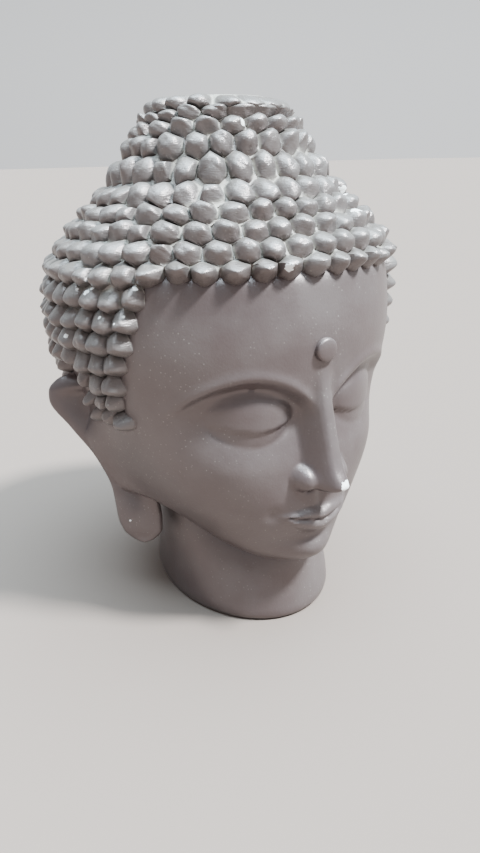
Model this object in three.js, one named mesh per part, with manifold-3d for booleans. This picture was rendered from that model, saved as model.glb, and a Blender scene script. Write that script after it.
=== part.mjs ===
// A plaster Buddha head on its own short neck, cast in one piece and cut flat below.
// Millimetres, +Z up. The face looks along -Y, and the origin is the middle of the flat underside.

import * as THREE from "three";
import { mergeVertices } from "three/addons/utils/BufferGeometryUtils.js";
import Module from "manifold-3d";

const wasm = await Module();
wasm.setup();
const { degToRad, radToDeg, lerp, clamp } = THREE.MathUtils;

// Head and neck
const HEIGHT = 400;
const AXIS_Y = 21; // the skull's upright axis, behind the middle of the neck
const NECK_HALF_WIDTH = 73;
const NECK_HALF_DEPTH = 95;
const NECK_WAIST = 2; // how far the neck draws in halfway up
const NECK_EDGE = 6; // rounding round the underside
const CHIN = 58;
const JAW = 100; // height of the jaw's corner under the ear
const JAW_ROUND = 14;
const JAW_OVERHANG = 7; // how far the jaw's edge stands out over the neck
const JAW_UNDER = 2; // how far under that edge the neck ends
const NECK_BLEND = 8; // how softly the neck draws in under the jaw
const NECK_ROWS = [0.4, 0.75, 1]; // rows of the neck, as shares of its height

// Skull under the curls: height, half width, reach forward and reach back from the axis
const SKULL = [
  [50, 58, 119, 68],
  [85, 80, 130, 73],
  [110, 96, 133, 86],
  [140, 109, 135, 104],
  [170, 119, 136, 120],
  [200, 127, 137, 131],
  [240, 134, 139, 138],
  [280, 131, 134, 134],
  [300, 118, 121, 121],
  [320, 99, 102, 102],
  [340, 79, 80, 80],
  [360, 66, 67, 67],
  [380, 53, 54, 54],
  [396, 39, 40, 40],
];

// Hair
const CURL_PITCH = 19.6; // along a row, at the tips
const ROW_PITCH = 15.5; // from row to row, down the skull
const CURL_HEIGHT = 10.5;
const VALLEY = 2; // how far the valleys between the curls stand out from the scalp
const CURL_RIDGE = 5.2; // half the length of the blunt ridge on each curl
const CURL_LEVEL = 0.52; // how far the curls turn from the skull's normal towards the level
const ROW_SHIFT = 0.42; // how far each row is moved along from the one above, in curls
const ROW_TILT = 0.046; // the rows stand higher at the front
const CROWN = 391.5; // height of the topmost row
const CROWN_DISC = 35; // radius of the flat on the topknot
const HAIRLINE_ROW = 286; // height of the lowest row over the forehead
const FOREHEAD = 279;
const SIDEBURN = 166;
const EAR_TOP = 208; // lowest curls over the ear
const NAPE = 97;
const TEMPLE = 50; // angle from the front at the forehead's corner
const TEMPLE_SLOPE = 0.17; // degrees further back for each millimetre lower
const TEMPLE_BACK = 63; // angle from the front at the sideburn
const EAR_FRONT = [76, 90]; // angles where the hairline climbs over the ear
const EAR_BACK = [96, 112]; // angles where it drops to the nape
const NARROW = 66; // angle of the sideburn, where the curls are narrow
const CURL_ROOM = 4; // how far inside the hairline a curl's middle has to be
const EDGE_ROOM = 7; // and how far inside the first curl beside the face is set
const BURIED = 0.75; // share of the skull's reach where the cap runs unseen inside the head
const SUNK = -6; // how deep the hair's outer edge runs under the skin
const PLACE_SCATTER = 0.22; // unevenness of the curls along a row, in curls
const ROW_SCATTER = 2.5; // and across it, in millimetres
const HEIGHT_SCATTER = 0.2; // and in height, as a share
const ROLL_SCATTER = 0.7; // and in the lie of the ridge, in radians

// Face on thirds, from the hairline to the brow, the nose's base and the chin, and five eyes wide
const HAIRLINE = 286;
const THIRD = (HAIRLINE - CHIN) / 3;
const BROW = HAIRLINE - THIRD;
const NOSE_BASE = BROW - THIRD;
const MOUTH = NOSE_BASE - THIRD / 3;
const EYE = BROW - THIRD / 4;
const EYE_WIDTH = 45;
const EYE_CENTRE = 1.03 * EYE_WIDTH;
const EYE_HALF = 0.62 * EYE_WIDTH;
const NOSE_TIP = NOSE_BASE + 9;
const NOSE_RISE = 26;
const MOUTH_HALF = 0.7 * EYE_WIDTH;
const URNA_RADIUS = 8.5;
const URNA_HEIGHT = BROW + 27;

// Grid of the skin: distances of its columns from the face's middle, then angles round the sides and back,
// shares of the way from the jaw up to the mouth, and heights from the mouth up, close at the features
const FACE_COLUMNS = [0, 4.5, 9.5, 15, 21, 28, 36, 46, 58, 72, 88, 104];
const SIDE_COLUMNS = [44, 52, 61, 69, 77, 86, 98, 116, 134, 152, 170];
const CHIN_ROWS = [0, 0.22, 0.44, 0.62, 0.75, 0.86, 0.94];
const FACE_ROWS = [
  ...spread(MOUTH, NOSE_BASE, 7),
  ...spread(NOSE_BASE, NOSE_BASE + 14, 4),
  ...spread(NOSE_BASE + 14, EYE - 16, 4),
  ...spread(EYE - 16, BROW + 20, 8),
  ...spread(BROW + 20, HAIRLINE + 20, 6),
];

// Ears: height, the rim's place, the root's place inside the head, and thickness, for the left ear
const EAR = [
  [205, 128, 35, 108, 21, 7],
  [200, 140, 40, 105, 13, 16],
  [192, 147, 42, 103, 7, 19],
  [184, 148, 41, 102, 4, 18],
  [162, 137, 30, 100, 0, 15],
  [134, 122, 19, 94, -4, 15],
  [106, 114, 12, 85, -9, 22],
  [82, 113, 9, 82, -11, 24],
  [70, 110, 7, 83, -12, 22],
  [62, 104, 4, 88, -9, 15],
  [58, 98, 0, 93, -5, 7],
];
const EAR_SECTIONS = 13;
const EAR_SIDES = 10;
const EAR_CUP = 6; // how far the ear's sheet bows back between rim and root
const EAR_FILLET = 34; // how softly the cheek runs into the ear

// Evenly spaced values from one limit up to just before the other.
function spread(from, to, count) {
  return Array.from({ length: count }, (_, i) => lerp(from, to, i / count));
}

// A smooth ramp from 0 to 1 as a value goes from one limit to the other, in either direction.
function ramp(value, from, to) {
  const t = clamp((value - from) / (to - from), 0, 1);
  return t * t * (3 - 2 * t);
}

// A bell of height 1 around a middle.
function bell(value, middle, width) {
  return Math.exp(-(((value - middle) / width) ** 2));
}

// A rounded maximum of two values.
function softMax(a, b, blend) {
  const h = clamp(0.5 + (0.5 * (a - b)) / blend, 0, 1);
  return lerp(b, a, h) + blend * h * (1 - h);
}

// A repeatable number from -0.5 to 0.5 for each curl.
function scatter(row, place, kind) {
  const v = Math.sin(row * 12.9898 + place * 78.233 + kind * 37.719) * 43758.5453;
  return v - Math.floor(v) - 0.5;
}

// A smooth curve through the rows of a table, without overshoot: the value of one column at a height.
function column(table, index) {
  const rows = [...table].sort((a, b) => a[0] - b[0]);
  const z = rows.map((row) => row[0]);
  const v = rows.map((row) => row[index]);
  const slopes = v.slice(1).map((value, i) => (value - v[i]) / (z[i + 1] - z[i]));
  const tangents = v.map((_, i) => {
    if (i === 0) return slopes[0];
    if (i === v.length - 1) return slopes[i - 1];
    const product = slopes[i - 1] * slopes[i];
    return product <= 0 ? 0 : (2 * product) / (slopes[i - 1] + slopes[i]);
  });
  return (height) => {
    const h = clamp(height, z[0], z[z.length - 1]);
    const i = clamp(z.findIndex((level) => level >= h) - 1, 0, z.length - 2);
    const span = z[i + 1] - z[i];
    const t = (h - z[i]) / span;
    const bend = t * (1 - t) * span;
    const straight = lerp(v[i], v[i + 1], t * t * (3 - 2 * t));
    return straight + bend * ((1 - t) * tangents[i] - t * tangents[i + 1]);
  };
}

const skullWidth = column(SKULL, 1);
const skullFront = column(SKULL, 2);
const skullBack = column(SKULL, 3);

// The skull's reach from the axis. The angle is 0 at the front and grows towards +X.
function skullReach(angle, z) {
  const depth = Math.cos(angle) > 0 ? skullFront(z) : skullBack(z);
  return 1 / Math.hypot(Math.sin(angle) / skullWidth(z), Math.cos(angle) / depth);
}

function polar(angle, reach, z) {
  return new THREE.Vector3(reach * Math.sin(angle), AXIS_Y - reach * Math.cos(angle), z);
}

// The neck's reach from the same axis, to an oval that is centred on the origin.
function neckReach(angle, z) {
  const edge = NECK_EDGE - Math.min(z, NECK_EDGE);
  const inset = NECK_EDGE - Math.sqrt(NECK_EDGE ** 2 - edge ** 2);
  const waist = NECK_WAIST * bell(z, 0.6 * CHIN, 0.5 * CHIN);
  const a = NECK_HALF_WIDTH - inset - waist;
  const b = NECK_HALF_DEPTH - inset - waist;
  const s = Math.sin(angle) / a;
  const c = Math.cos(angle) / b;
  const offset = AXIS_Y / b;
  const square = s * s + c * c;
  return (c * offset + Math.sqrt((c * offset) ** 2 + square * (1 - offset ** 2))) / square;
}

// The angle from the front where the hair beside the face begins.
function edgeAngle(z) {
  return Math.min(TEMPLE + TEMPLE_SLOPE * (FOREHEAD - z), TEMPLE_BACK);
}

// How far a place is inside the hair, below 0 on bare skin. The height is taken square to the rows.
function hairDepth(angle, z) {
  const turn = Math.abs(radToDeg(angle));
  const beside = degToRad(turn - edgeAngle(z)) * skullReach(angle, z);
  const overEar = (EAR_TOP - SIDEBURN) * ramp(turn, ...EAR_FRONT);
  const lower = SIDEBURN + overEar + (NAPE - EAR_TOP) * ramp(turn, ...EAR_BACK);
  return softMax(z - FOREHEAD, Math.min(beside, z - lower), 8);
}

function rowLift(angle, reach) {
  return ROW_TILT * reach * Math.cos(angle);
}

// The arched brow, as a height at a distance from the middle of the face.
function browLine(x) {
  return BROW + 11 - 23 * ((x - 1.15 * EYE_WIDTH) / EYE_WIDTH) ** 2;
}

// The sunk eye, its full closed lid and the line where the lids meet.
function eyeRelief(x, z) {
  const brow = browLine(x);
  const across = ramp(x, 2.3 * EYE_WIDTH, 1.6 * EYE_WIDTH) * ramp(x, 5, 16);
  const socket = ramp(z, brow + 1, brow - 11) * ramp(z, EYE - 42, EYE + 2) * across;
  const edge = bell(z, brow + 2, 4.5) * across;
  const t = (x - EYE_CENTRE) / EYE_HALF;
  const lid = Math.sqrt(Math.max(0, 1.65 - t * t - ((z - EYE) / 21) ** 2)) - 0.8;
  const line = EYE - 10 + 6 * t * t;
  const inside = ramp(Math.abs(t), 1.08, 0.85);
  const under = ramp(z, line + 0.5, line - 1.1) * ramp(z, line - 13, line - 3) * inside;
  return -9.5 * socket + 1.6 * edge + 16 * Math.max(0, lid) - 1.7 * under;
}

// The straight nose with a rounded tip, its wings and the nostrils under them.
function noseRelief(x, z) {
  const top = BROW - 2;
  const along = clamp((top - z) / (top - NOSE_TIP), 0, 1);
  const rise = lerp(6, NOSE_RISE, along) * ramp(z, top + 26, top - 4);
  const below = clamp((NOSE_TIP - z) / (NOSE_TIP - NOSE_BASE + 1), 0, 1);
  const end = Math.sqrt(1 - below * below);
  const ridge = rise * end * ramp(x, 10 + 8 * along, 2 + 2 * along);
  const tip = 4 * bell(x, 0, 9) * bell(z, NOSE_TIP + 1, 8) * end;
  const wing = Math.max(0, 1 - ((x - 14.5) / 10) ** 2 - ((z - NOSE_BASE - 9) / 11) ** 2);
  const nostril = 4 * bell(x, 9.5, 3.6) * bell(z, NOSE_BASE + 0.5, 2.6);
  return softMax(ridge + tip, 14 * wing ** 0.7, 5) - 1.25 - nostril;
}

// The swell of a lip, from the seam at 0 to its outer edge at 1.
function lip(share, full) {
  if (share < 0 || share >= 1) return 0;
  return full * (1 - share * share) ** 0.8 * (0.6 + 0.4 * ramp(share, 0, 0.45));
}

// Closed lips with a faint lift at the corners, and the mound that carries them.
function mouthRelief(x, z) {
  const t = Math.min(x / MOUTH_HALF, 1);
  const line = MOUTH + 4.5 * t * t - 1.6 * bell(x, 0, 6);
  const narrowing = Math.sqrt(1 - t * t);
  const upper = (z - line) / (10.5 * (1 - t ** 1.5) - 2.2 * bell(x, 0, 4) + 0.8);
  const lower = (line - z) / (13 * (1 - t * t) + 0.8);
  const lips = Math.max(lip(upper, 5.5), lip(lower, 6.5));
  const seam = 1.8 * bell(z, line, 1.4);
  const mound = 7 * bell(x, 0, 38) * bell(z, MOUTH + 3, 27);
  const groove = 1.8 * bell(x, 0, 3.6) * ramp(z, NOSE_BASE, NOSE_BASE - 6) * ramp(z, MOUTH + 7, MOUTH + 12);
  const corner = 2.5 * bell(x, MOUTH_HALF + 3, 5) * bell(z, MOUTH + 5, 6);
  return mound + narrowing * (lips - seam) - groove - corner;
}

// Full cheeks, the hollow under the lips and a round chin.
function cheekRelief(x, z) {
  const cheek = 6 * bell(x, 1.45 * EYE_WIDTH, 30) * bell(z, NOSE_BASE + 8, 34);
  const hollow = 3.5 * bell(x, 0, 24) * bell(z, MOUTH - 19, 6.5);
  const chin = 9 * bell(x, 0, 21) * bell(z, CHIN + 17, 14);
  return cheek - hollow + chin;
}

// How far the face stands forward of the skull.
function faceRelief(x, z) {
  const side = Math.abs(x);
  return eyeRelief(side, z) + noseRelief(side, z) + mouthRelief(side, z) + cheekRelief(side, z);
}

const earRimX = column(EAR, 1);
const earRimY = column(EAR, 2);
const earRootX = column(EAR, 3);
const earRootY = column(EAR, 4);
const earThickness = column(EAR, 5);

// The reach of the ear's middle plane from the skull's axis.
function earLine(turn, z) {
  const dx = earRimX(z) - earRootX(z);
  const dy = earRimY(z) - earRootY(z);
  const start = dy * earRootX(z) - dx * (earRootY(z) - AXIS_Y);
  return start / Math.max(dy * Math.sin(turn) + dx * Math.cos(turn), 0.2 * Math.hypot(dx, dy));
}

// How far the cheek swells to run into the ear.
function earFlare(angle, z) {
  const skull = skullReach(angle, z);
  const line = earLine(Math.abs(angle), z);
  const gain = softMax(line, skull, EAR_FILLET) - skull;
  return gain * ramp(line - skull, 26, 12) * ramp(z, 88, 108) * ramp(z, 182, 150);
}

function jawHeight(angle) {
  return CHIN + (JAW - CHIN) * Math.min(1, Math.sin(angle) ** 2 + Number(Math.cos(angle) < 0));
}

// A place on the bare skin above the jaw, drawn in under the hair.
function skinPoint(angle, z) {
  const above = clamp((z - jawHeight(angle)) / JAW_ROUND, 0, 1);
  const round = JAW_ROUND * (1 - Math.sqrt(1 - (1 - above) ** 2)) * 0.7;
  const reach = skullReach(angle, z) + earFlare(angle, z) - round;
  const level = z - rowLift(angle, reach);
  const point = polar(angle, reach - 3 * ramp(hairDepth(angle, level), 1, 9), z);
  const facing = ramp(Math.abs(radToDeg(angle)), 84, 58);
  point.y -= facing * faceRelief(point.x, z);
  return point;
}

// A row's height, bent so that the rows near the brow run along it.
function followBrow(angle, z) {
  const x = Math.abs(skullReach(angle, z) * Math.sin(angle));
  return z + (browLine(x) - BROW) * bell(z, BROW, 22) * ramp(x, 125, 95);
}

// Columns of the skin: close together over the face, wide apart at the back.
function skinAngles() {
  const face = FACE_COLUMNS.map((x) => Math.atan2(x, skullFront(MOUTH)));
  const half = [...face, ...SIDE_COLUMNS.map(degToRad)];
  const mirrored = half.slice(1).map((angle) => -angle);
  return [...mirrored.reverse(), ...half];
}

// One column of the skin, from the underside to the top that the hair hides, drawn in under the jaw.
function skinColumn(angle) {
  const jaw = jawHeight(angle);
  const edge = skinPoint(angle, jaw);
  const under = Math.hypot(edge.x, edge.y - AXIS_Y) - JAW_OVERHANG;
  const points = [0, 1.5, NECK_EDGE].map((z) => polar(angle, neckReach(angle, z), z));
  for (const part of NECK_ROWS) {
    const z = lerp(NECK_EDGE, jaw - JAW_UNDER, part);
    const neck = neckReach(angle, z);
    const drawnIn = neck + softMax(-neck, -under, NECK_BLEND);
    points.push(polar(angle, neck - drawnIn * part ** 2, z));
  }
  for (const share of CHIN_ROWS) points.push(skinPoint(angle, lerp(jaw, MOUTH, share)));
  for (const z of FACE_ROWS) points.push(skinPoint(angle, followBrow(angle, z)));
  return points;
}

function solid(points, triangles) {
  const geometry = new THREE.BufferGeometry().setFromPoints(points);
  geometry.setIndex(triangles);
  const merged = mergeVertices(geometry);
  const mesh = new wasm.Mesh({
    numProp: 3,
    vertProperties: new Float32Array(merged.attributes.position.array),
    triVerts: new Uint32Array(merged.index.array),
  });
  return new wasm.Manifold(mesh);
}

// Closes a stack of equal rings, listed upwards and anticlockwise from above, with a fan at each end.
function loft(rings) {
  const sides = rings[0].length;
  const points = rings.flat();
  const triangles = [];
  for (let r = 0; r + 1 < rings.length; r++) {
    for (let i = 0; i < sides; i++) {
      const a = r * sides + i;
      const b = r * sides + ((i + 1) % sides);
      triangles.push(a, b, b + sides, a, b + sides, a + sides);
    }
  }
  const middle = (ring) => ring.reduce((sum, p) => sum.add(p), new THREE.Vector3()).divideScalar(sides);
  const bottom = points.push(middle(rings[0])) - 1;
  const top = points.push(middle(rings[rings.length - 1])) - 1;
  const last = (rings.length - 1) * sides;
  for (let i = 0; i < sides; i++) {
    const next = (i + 1) % sides;
    triangles.push(bottom, next, i, top, last + i, last + next);
  }
  return solid(points, triangles);
}

// Face, skull and neck
function skin() {
  const columns = skinAngles().map(skinColumn);
  const rings = columns[0].map((_, row) => columns.map((points) => points[row]));
  return loft(rings);
}

// One ear: level sections from the lobe up to the top, each a cupped leaf between rim and root.
function ear(side) {
  const heights = EAR.map((row) => row[0]);
  const rings = [];
  for (let k = 0; k < EAR_SECTIONS; k++) {
    const part = 0.5 - 0.5 * Math.cos((Math.PI * k) / (EAR_SECTIONS - 1));
    const z = lerp(Math.min(...heights), Math.max(...heights), part);
    const rim = new THREE.Vector3(earRimX(z), earRimY(z), z);
    const root = new THREE.Vector3(earRootX(z), earRootY(z), z);
    const across = new THREE.Vector3().subVectors(rim, root).multiplyScalar(0.5);
    const front = new THREE.Vector3(across.y, -across.x, 0).normalize();
    const cup = EAR_CUP * ramp(across.length(), 4, 16);
    const ring = [];
    for (let i = 0; i < EAR_SIDES; i++) {
      const turn = (2 * Math.PI * i) / EAR_SIDES;
      const u = Math.cos(turn);
      const facing = -Math.sin(turn);
      const hollow = 0.75 * ramp(z, 84, 120) * ramp(z, 197, 187) * bell(u, 0, 0.55);
      const swell = facing > 0 ? facing * (1 - hollow) : facing;
      const offset = 0.5 * earThickness(z) * swell - cup * (1 - u * u);
      const point = new THREE.Vector3().addVectors(rim, root).multiplyScalar(0.5);
      point.addScaledVector(across, u).addScaledVector(front, offset);
      ring.push(point.setX(side * point.x));
    }
    rings.push(side > 0 ? ring : ring.reverse());
  }
  return loft(rings);
}

// The round mark between the brows
function urna() {
  const y = skinPoint(0, URNA_HEIGHT).y;
  const rings = [[1, 5], [1, -1.5], [0.85, -3.4], [0.4, -4.2]].map(([share, depth]) => {
    const ring = [];
    for (let i = 0; i < 14; i++) {
      const turn = (2 * Math.PI * i) / 14;
      const x = share * URNA_RADIUS * Math.cos(turn);
      ring.push(new THREE.Vector3(x, y + depth, URNA_HEIGHT + share * URNA_RADIUS * Math.sin(turn)));
    }
    return ring;
  });
  return loft(rings);
}

// How tall the rows are at a height: close at the top, tall round the topknot.
function rowStretch(z) {
  return 1 - 0.36 * ramp(z, 366, 380) + 0.48 * bell(z, 347, 14);
}

// Heights of the rows of curls, spaced down the side of the skull.
function curlRows() {
  const step = 0.5;
  const lengths = [];
  let run = 0;
  for (let z = CROWN; z > NAPE - ROW_PITCH; z -= step) {
    lengths.push([z, run]);
    run += Math.hypot(step, skullWidth(z) - skullWidth(z - step)) / rowStretch(z);
  }
  const hairline = lengths.find(([z]) => z <= HAIRLINE_ROW)[1];
  const pitch = hairline / Math.round(hairline / ROW_PITCH);
  const rows = [];
  for (const [z, length] of lengths) {
    if (length >= rows.length * pitch - 1e-6) rows.push(z);
  }
  return rows;
}

// Draws the curls of the sideburns close together.
function narrowed(angle, z) {
  const off = Math.abs(radToDeg(wrap(angle))) - NARROW;
  const pull = 5 * Math.tanh(off / 10) * bell(off, 0, 30) * ramp(z, 250, 205);
  return angle - Math.sign(wrap(angle)) * degToRad(pull);
}

// Moves the curls of a row beside the face, so that one stands right behind the hair's edge.
function settle(curls, height) {
  for (const side of [1, -1]) {
    const edge = side * degToRad(edgeAngle(height));
    const wanted = edge + (side * EDGE_ROOM) / skullReach(edge, height);
    const gaps = curls.map((curl) => wrap(wanted - curl.angle));
    const move = gaps.reduce((best, gap) => (Math.abs(gap) < Math.abs(best) ? gap : best));
    curls.forEach((curl, i) => (curl.angle += move * bell(gaps[i], 0, 0.6)));
  }
}

// Middles of the curls in one row, evenly spaced along it.
function curlRing(height, row) {
  const steps = 360;
  const tip = (i) => {
    const angle = (2 * Math.PI * i) / steps;
    return polar(angle, skullReach(angle, height) + CURL_HEIGHT, 0);
  };
  const lengths = [0];
  for (let i = 1; i <= steps; i++) lengths.push(lengths[i - 1] + tip(i - 1).distanceTo(tip(i)));
  const count = Math.round(lengths[steps] / CURL_PITCH);
  const curls = [];
  for (let place = 0; place < count; place++) {
    const shift = ((ROW_SHIFT * row) % 1) + PLACE_SCATTER * scatter(row, place, 1);
    const length = (((place + shift + 1) % count) / count) * lengths[steps];
    const i = Math.max(1, lengths.findIndex((value) => value >= length));
    const part = (length - lengths[i - 1]) / (lengths[i] - lengths[i - 1]);
    const z = height + ROW_SCATTER * scatter(row, place, 2);
    const angle = narrowed((2 * Math.PI * (i - 1 + part)) / steps, z);
    curls.push({ angle, z, row, place, above: [], below: [] });
  }
  if (height > SIDEBURN && height < FOREHEAD) settle(curls, height);
  curls.sort((a, b) => a.angle - b.angle);
  for (const curl of curls) curl.real = hairDepth(wrap(curl.angle), curl.z) > CURL_ROOM;
  return curls;
}

function wrap(angle) {
  return angle - 2 * Math.PI * Math.round(angle / (2 * Math.PI));
}

// A place on the scalp, at a share of its reach and a distance outside it.
function scalp(angle, z, share, out) {
  const reach = share * skullReach(angle, z) + out;
  return polar(angle, reach, z + rowLift(angle, reach));
}

// The way a curl points: out from the scalp, turned towards the level.
function curlDirection(angle, z) {
  const small = 0.01;
  const across = scalp(angle + small, z, 1, 0).sub(scalp(angle - small, z, 1, 0));
  const up = scalp(angle, z + 1, 1, 0).sub(scalp(angle, z - 1, 1, 0));
  const normal = across.cross(up).normalize();
  const level = normal.clone().setZ(0).normalize();
  return normal.lerp(level, CURL_LEVEL).normalize();
}

// Links two neighbouring rows of curls: each triangle of middles leaves one corner in the valley.
function linkRows(upper, lower, addCorner) {
  const at = (ring, i) => ring[((i % ring.length) + ring.length) % ring.length];
  const angleAt = (ring, i) => at(ring, i).angle + 2 * Math.PI * Math.floor(i / ring.length);
  const gaps = lower.map((curl) => Math.abs(wrap(curl.angle - upper[0].angle)));
  let i = 0;
  let j = gaps.indexOf(Math.min(...gaps));
  if (lower[j].angle - upper[0].angle > Math.PI) j -= lower.length;
  const lastI = upper.length;
  const lastJ = j + lower.length;
  while (i < lastI || j < lastJ) {
    const ahead = Math.abs(angleAt(upper, i + 1) - angleAt(lower, j));
    const behind = Math.abs(angleAt(lower, j + 1) - angleAt(upper, i));
    const advanceUpper = j === lastJ || (i < lastI && ahead < behind);
    const third = advanceUpper ? [upper, i + 1] : [lower, j + 1];
    const corners = [[upper, i], [lower, j], third];
    const angle = corners.reduce((sum, [ring, k]) => sum + angleAt(ring, k), 0) / 3;
    const curls = corners.map(([ring, k]) => at(ring, k));
    const corner = addCorner(wrap(angle), curls);
    for (const curl of curls) (upper.includes(curl) ? curl.below : curl.above).push({ corner, angle });
    if (advanceUpper) i += 1;
    else j += 1;
  }
}

// The whole cap of curls, closed inside the head where there is bare skin.
function hair() {
  const points = [];
  const triangles = [];
  const add = (point) => points.push(point) - 1;
  const rings = curlRows().map(curlRing);
  const last = rings[rings.length - 1];
  for (const curl of last) curl.real = false;

  const valley = (angle, curls) => {
    const z = curls.reduce((sum, curl) => sum + curl.z, 0) / curls.length;
    const real = curls.filter((curl) => curl.real).length;
    if (real === 0) return add(scalp(angle, z, BURIED, 0));
    return add(scalp(angle, z, 1, real === curls.length ? VALLEY : SUNK));
  };
  for (let r = 0; r + 1 < rings.length; r++) linkRows(rings[r], rings[r + 1], valley);

  const rim = (ring, list, place) => ring.map((curl, i) => {
    const next = ring[(i + 1) % ring.length];
    const angle = curl.angle + 0.5 * wrap(next.angle - curl.angle);
    const corner = add(place(wrap(angle)));
    curl[list].push({ corner, angle });
    next[list].push({ corner, angle });
    return corner;
  });
  const disc = rim(rings[0], "above", (angle) => polar(angle, CROWN_DISC, HEIGHT - 1.5));
  const floor = rim(last, "below", (angle) => scalp(angle, last[0].z - 6, 0.5 * BURIED, 0));
  const top = add(new THREE.Vector3(0, AXIS_Y, HEIGHT));
  const bottom = add(new THREE.Vector3(0, AXIS_Y, last[0].z - 8));
  disc.forEach((corner, i) => triangles.push(top, corner, disc[(i + 1) % disc.length]));
  floor.forEach((corner, i) => triangles.push(bottom, floor[(i + 1) % floor.length], corner));

  const fan = (centres, corners) => {
    const nearest = corners.map((corner) => {
      const distances = centres.map((centre) => points[centre].distanceTo(points[corner]));
      return centres[distances.indexOf(Math.min(...distances))];
    });
    corners.forEach((corner, i) => {
      const k = (i + 1) % corners.length;
      triangles.push(nearest[i], corner, corners[k]);
      if (nearest[k] !== nearest[i]) triangles.push(nearest[i], corners[k], nearest[k]);
    });
  };
  for (const curl of rings.flat()) {
    const order = (list) => list.sort((a, b) => wrap(a.angle - curl.angle) - wrap(b.angle - curl.angle));
    const corners = [...order(curl.below), ...order(curl.above).reverse()].map((item) => item.corner);
    if (!curl.real) {
      fan([add(scalp(curl.angle, curl.z, BURIED, 0))], corners);
      continue;
    }
    const tip = scalp(curl.angle, curl.z, 1, 0);
    const out = curlDirection(curl.angle, curl.z);
    tip.addScaledVector(out, CURL_HEIGHT * (1 + HEIGHT_SCATTER * scatter(curl.row, curl.place, 3)));
    const along = new THREE.Vector3(Math.cos(curl.angle), Math.sin(curl.angle), 0);
    along.applyAxisAngle(out, ROLL_SCATTER * scatter(curl.row, curl.place, 4)).multiplyScalar(CURL_RIDGE);
    fan([add(tip.clone().sub(along)), add(tip.clone().add(along))], corners);
  }
  return solid(points, triangles);
}

function meshOf(body, name, material) {
  const result = body.getMesh();
  const geometry = new THREE.BufferGeometry();
  geometry.setAttribute("position", new THREE.BufferAttribute(new Float32Array(result.vertProperties), 3));
  geometry.setIndex(new THREE.BufferAttribute(new Uint32Array(result.triVerts), 1));
  geometry.computeVertexNormals();
  const mesh = new THREE.Mesh(geometry, material);
  mesh.name = name;
  return mesh;
}

const paint = new THREE.MeshStandardMaterial({ color: 0x7d7a7c, roughness: 0.5, metalness: 0 });
const head = skin().add(hair()).add(ear(1)).add(ear(-1)).add(urna());

const statue = new THREE.Group();
statue.add(meshOf(head, "buddha_head", paint));

export default statue;
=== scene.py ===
"""Looks of a plaster Buddha head: its carved surface, grey paint, dust and chips, on a pale floor."""

import math

import bpy
import numpy as np
from mathutils import Matrix, Vector
from mathutils.kdtree import KDTree


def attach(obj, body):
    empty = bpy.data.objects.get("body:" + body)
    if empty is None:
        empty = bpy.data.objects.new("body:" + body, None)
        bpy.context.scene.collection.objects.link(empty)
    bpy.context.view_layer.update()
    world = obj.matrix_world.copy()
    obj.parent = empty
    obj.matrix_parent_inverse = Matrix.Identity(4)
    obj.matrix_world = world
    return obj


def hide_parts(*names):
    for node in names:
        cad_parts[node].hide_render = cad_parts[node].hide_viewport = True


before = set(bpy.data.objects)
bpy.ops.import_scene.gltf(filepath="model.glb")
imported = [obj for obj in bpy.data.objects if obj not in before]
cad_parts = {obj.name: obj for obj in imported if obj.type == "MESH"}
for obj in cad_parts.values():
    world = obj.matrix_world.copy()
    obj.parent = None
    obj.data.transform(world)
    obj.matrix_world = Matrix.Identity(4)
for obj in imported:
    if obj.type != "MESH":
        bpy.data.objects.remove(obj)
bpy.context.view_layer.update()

# Shapes are worked out in millimetres and made in metres.
MM = 0.001

# Head and neck
HEIGHT = 400
AXIS_Y = 21
NECK_HALF_WIDTH = 73
NECK_HALF_DEPTH = 95
NECK_WAIST = 2
NECK_EDGE = 6
NECK_BLEND = 8
CHIN = 58
JAW = 100
JAW_ROUND = 14
JAW_INSET = 0.7 * JAW_ROUND
JAW_OVERHANG = 7
JAW_UNDER = 2
WAIST_HEIGHT = 0.6 * CHIN
WAIST_SPREAD = 0.5 * CHIN

# Skull under the curls: height, half width, reach forward and reach back from the axis
SKULL = [
    (50, 58, 119, 68),
    (85, 80, 130, 73),
    (110, 96, 133, 86),
    (140, 109, 135, 104),
    (170, 119, 136, 120),
    (200, 127, 137, 131),
    (240, 134, 139, 138),
    (280, 131, 134, 134),
    (300, 118, 121, 121),
    (320, 99, 102, 102),
    (340, 79, 80, 80),
    (360, 66, 67, 67),
    (380, 53, 54, 54),
    (396, 39, 40, 40),
]

# The hair's edge: heights, and turns from the front in degrees
FOREHEAD = 279
SIDEBURN = 166
EAR_TOP = 208
NAPE = 97
TEMPLE = 50
TEMPLE_SLOPE = 0.17
TEMPLE_BACK = 63
EAR_FRONT = (76, 90)
EAR_BACK = (96, 112)
EDGE_BLEND = 8
HAIR_INSET = 3
HAIR_INSET_DEPTHS = (1, 9)

# Rows of curls
CURL_PITCH = 19.6
ROW_PITCH = 15.5
ROW_SHIFT = 0.42
ROW_TILT = 0.046
ROW_STEP = 0.5
RING_STEPS = 361
PLACE_SCATTER = 0.22
HEIGHT_SCATTER = 0.16 * ROW_PITCH
HAIRLINE_ROW = 286
CROWN = 391.5
CROWN_DISC = 35
CROWN_EDGE = 1.5
CROWN_STUD = 0.5
TOP_ROWS = (366, 380)
TOP_SQUEEZE = 0.36
KNOT_FOOT = 347
KNOT_SPREAD = 14
KNOT_STRETCH = 0.48
NARROW = 66
NARROW_PULL = 5
NARROW_NEAR = 10
NARROW_FAR = 30
NARROW_HEIGHTS = (250, 205)
SETTLE_SPREAD = 0.6
CURL_ROOM = 4
EDGE_ROOM = 7

# The cap that carries the curls, sunk and buried in the head where there is bare skin
VALLEY = 2
SUNK = -6
BURIED = 0.75
CAP_EDGE = 6
CAP_FLOOR = 8

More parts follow.
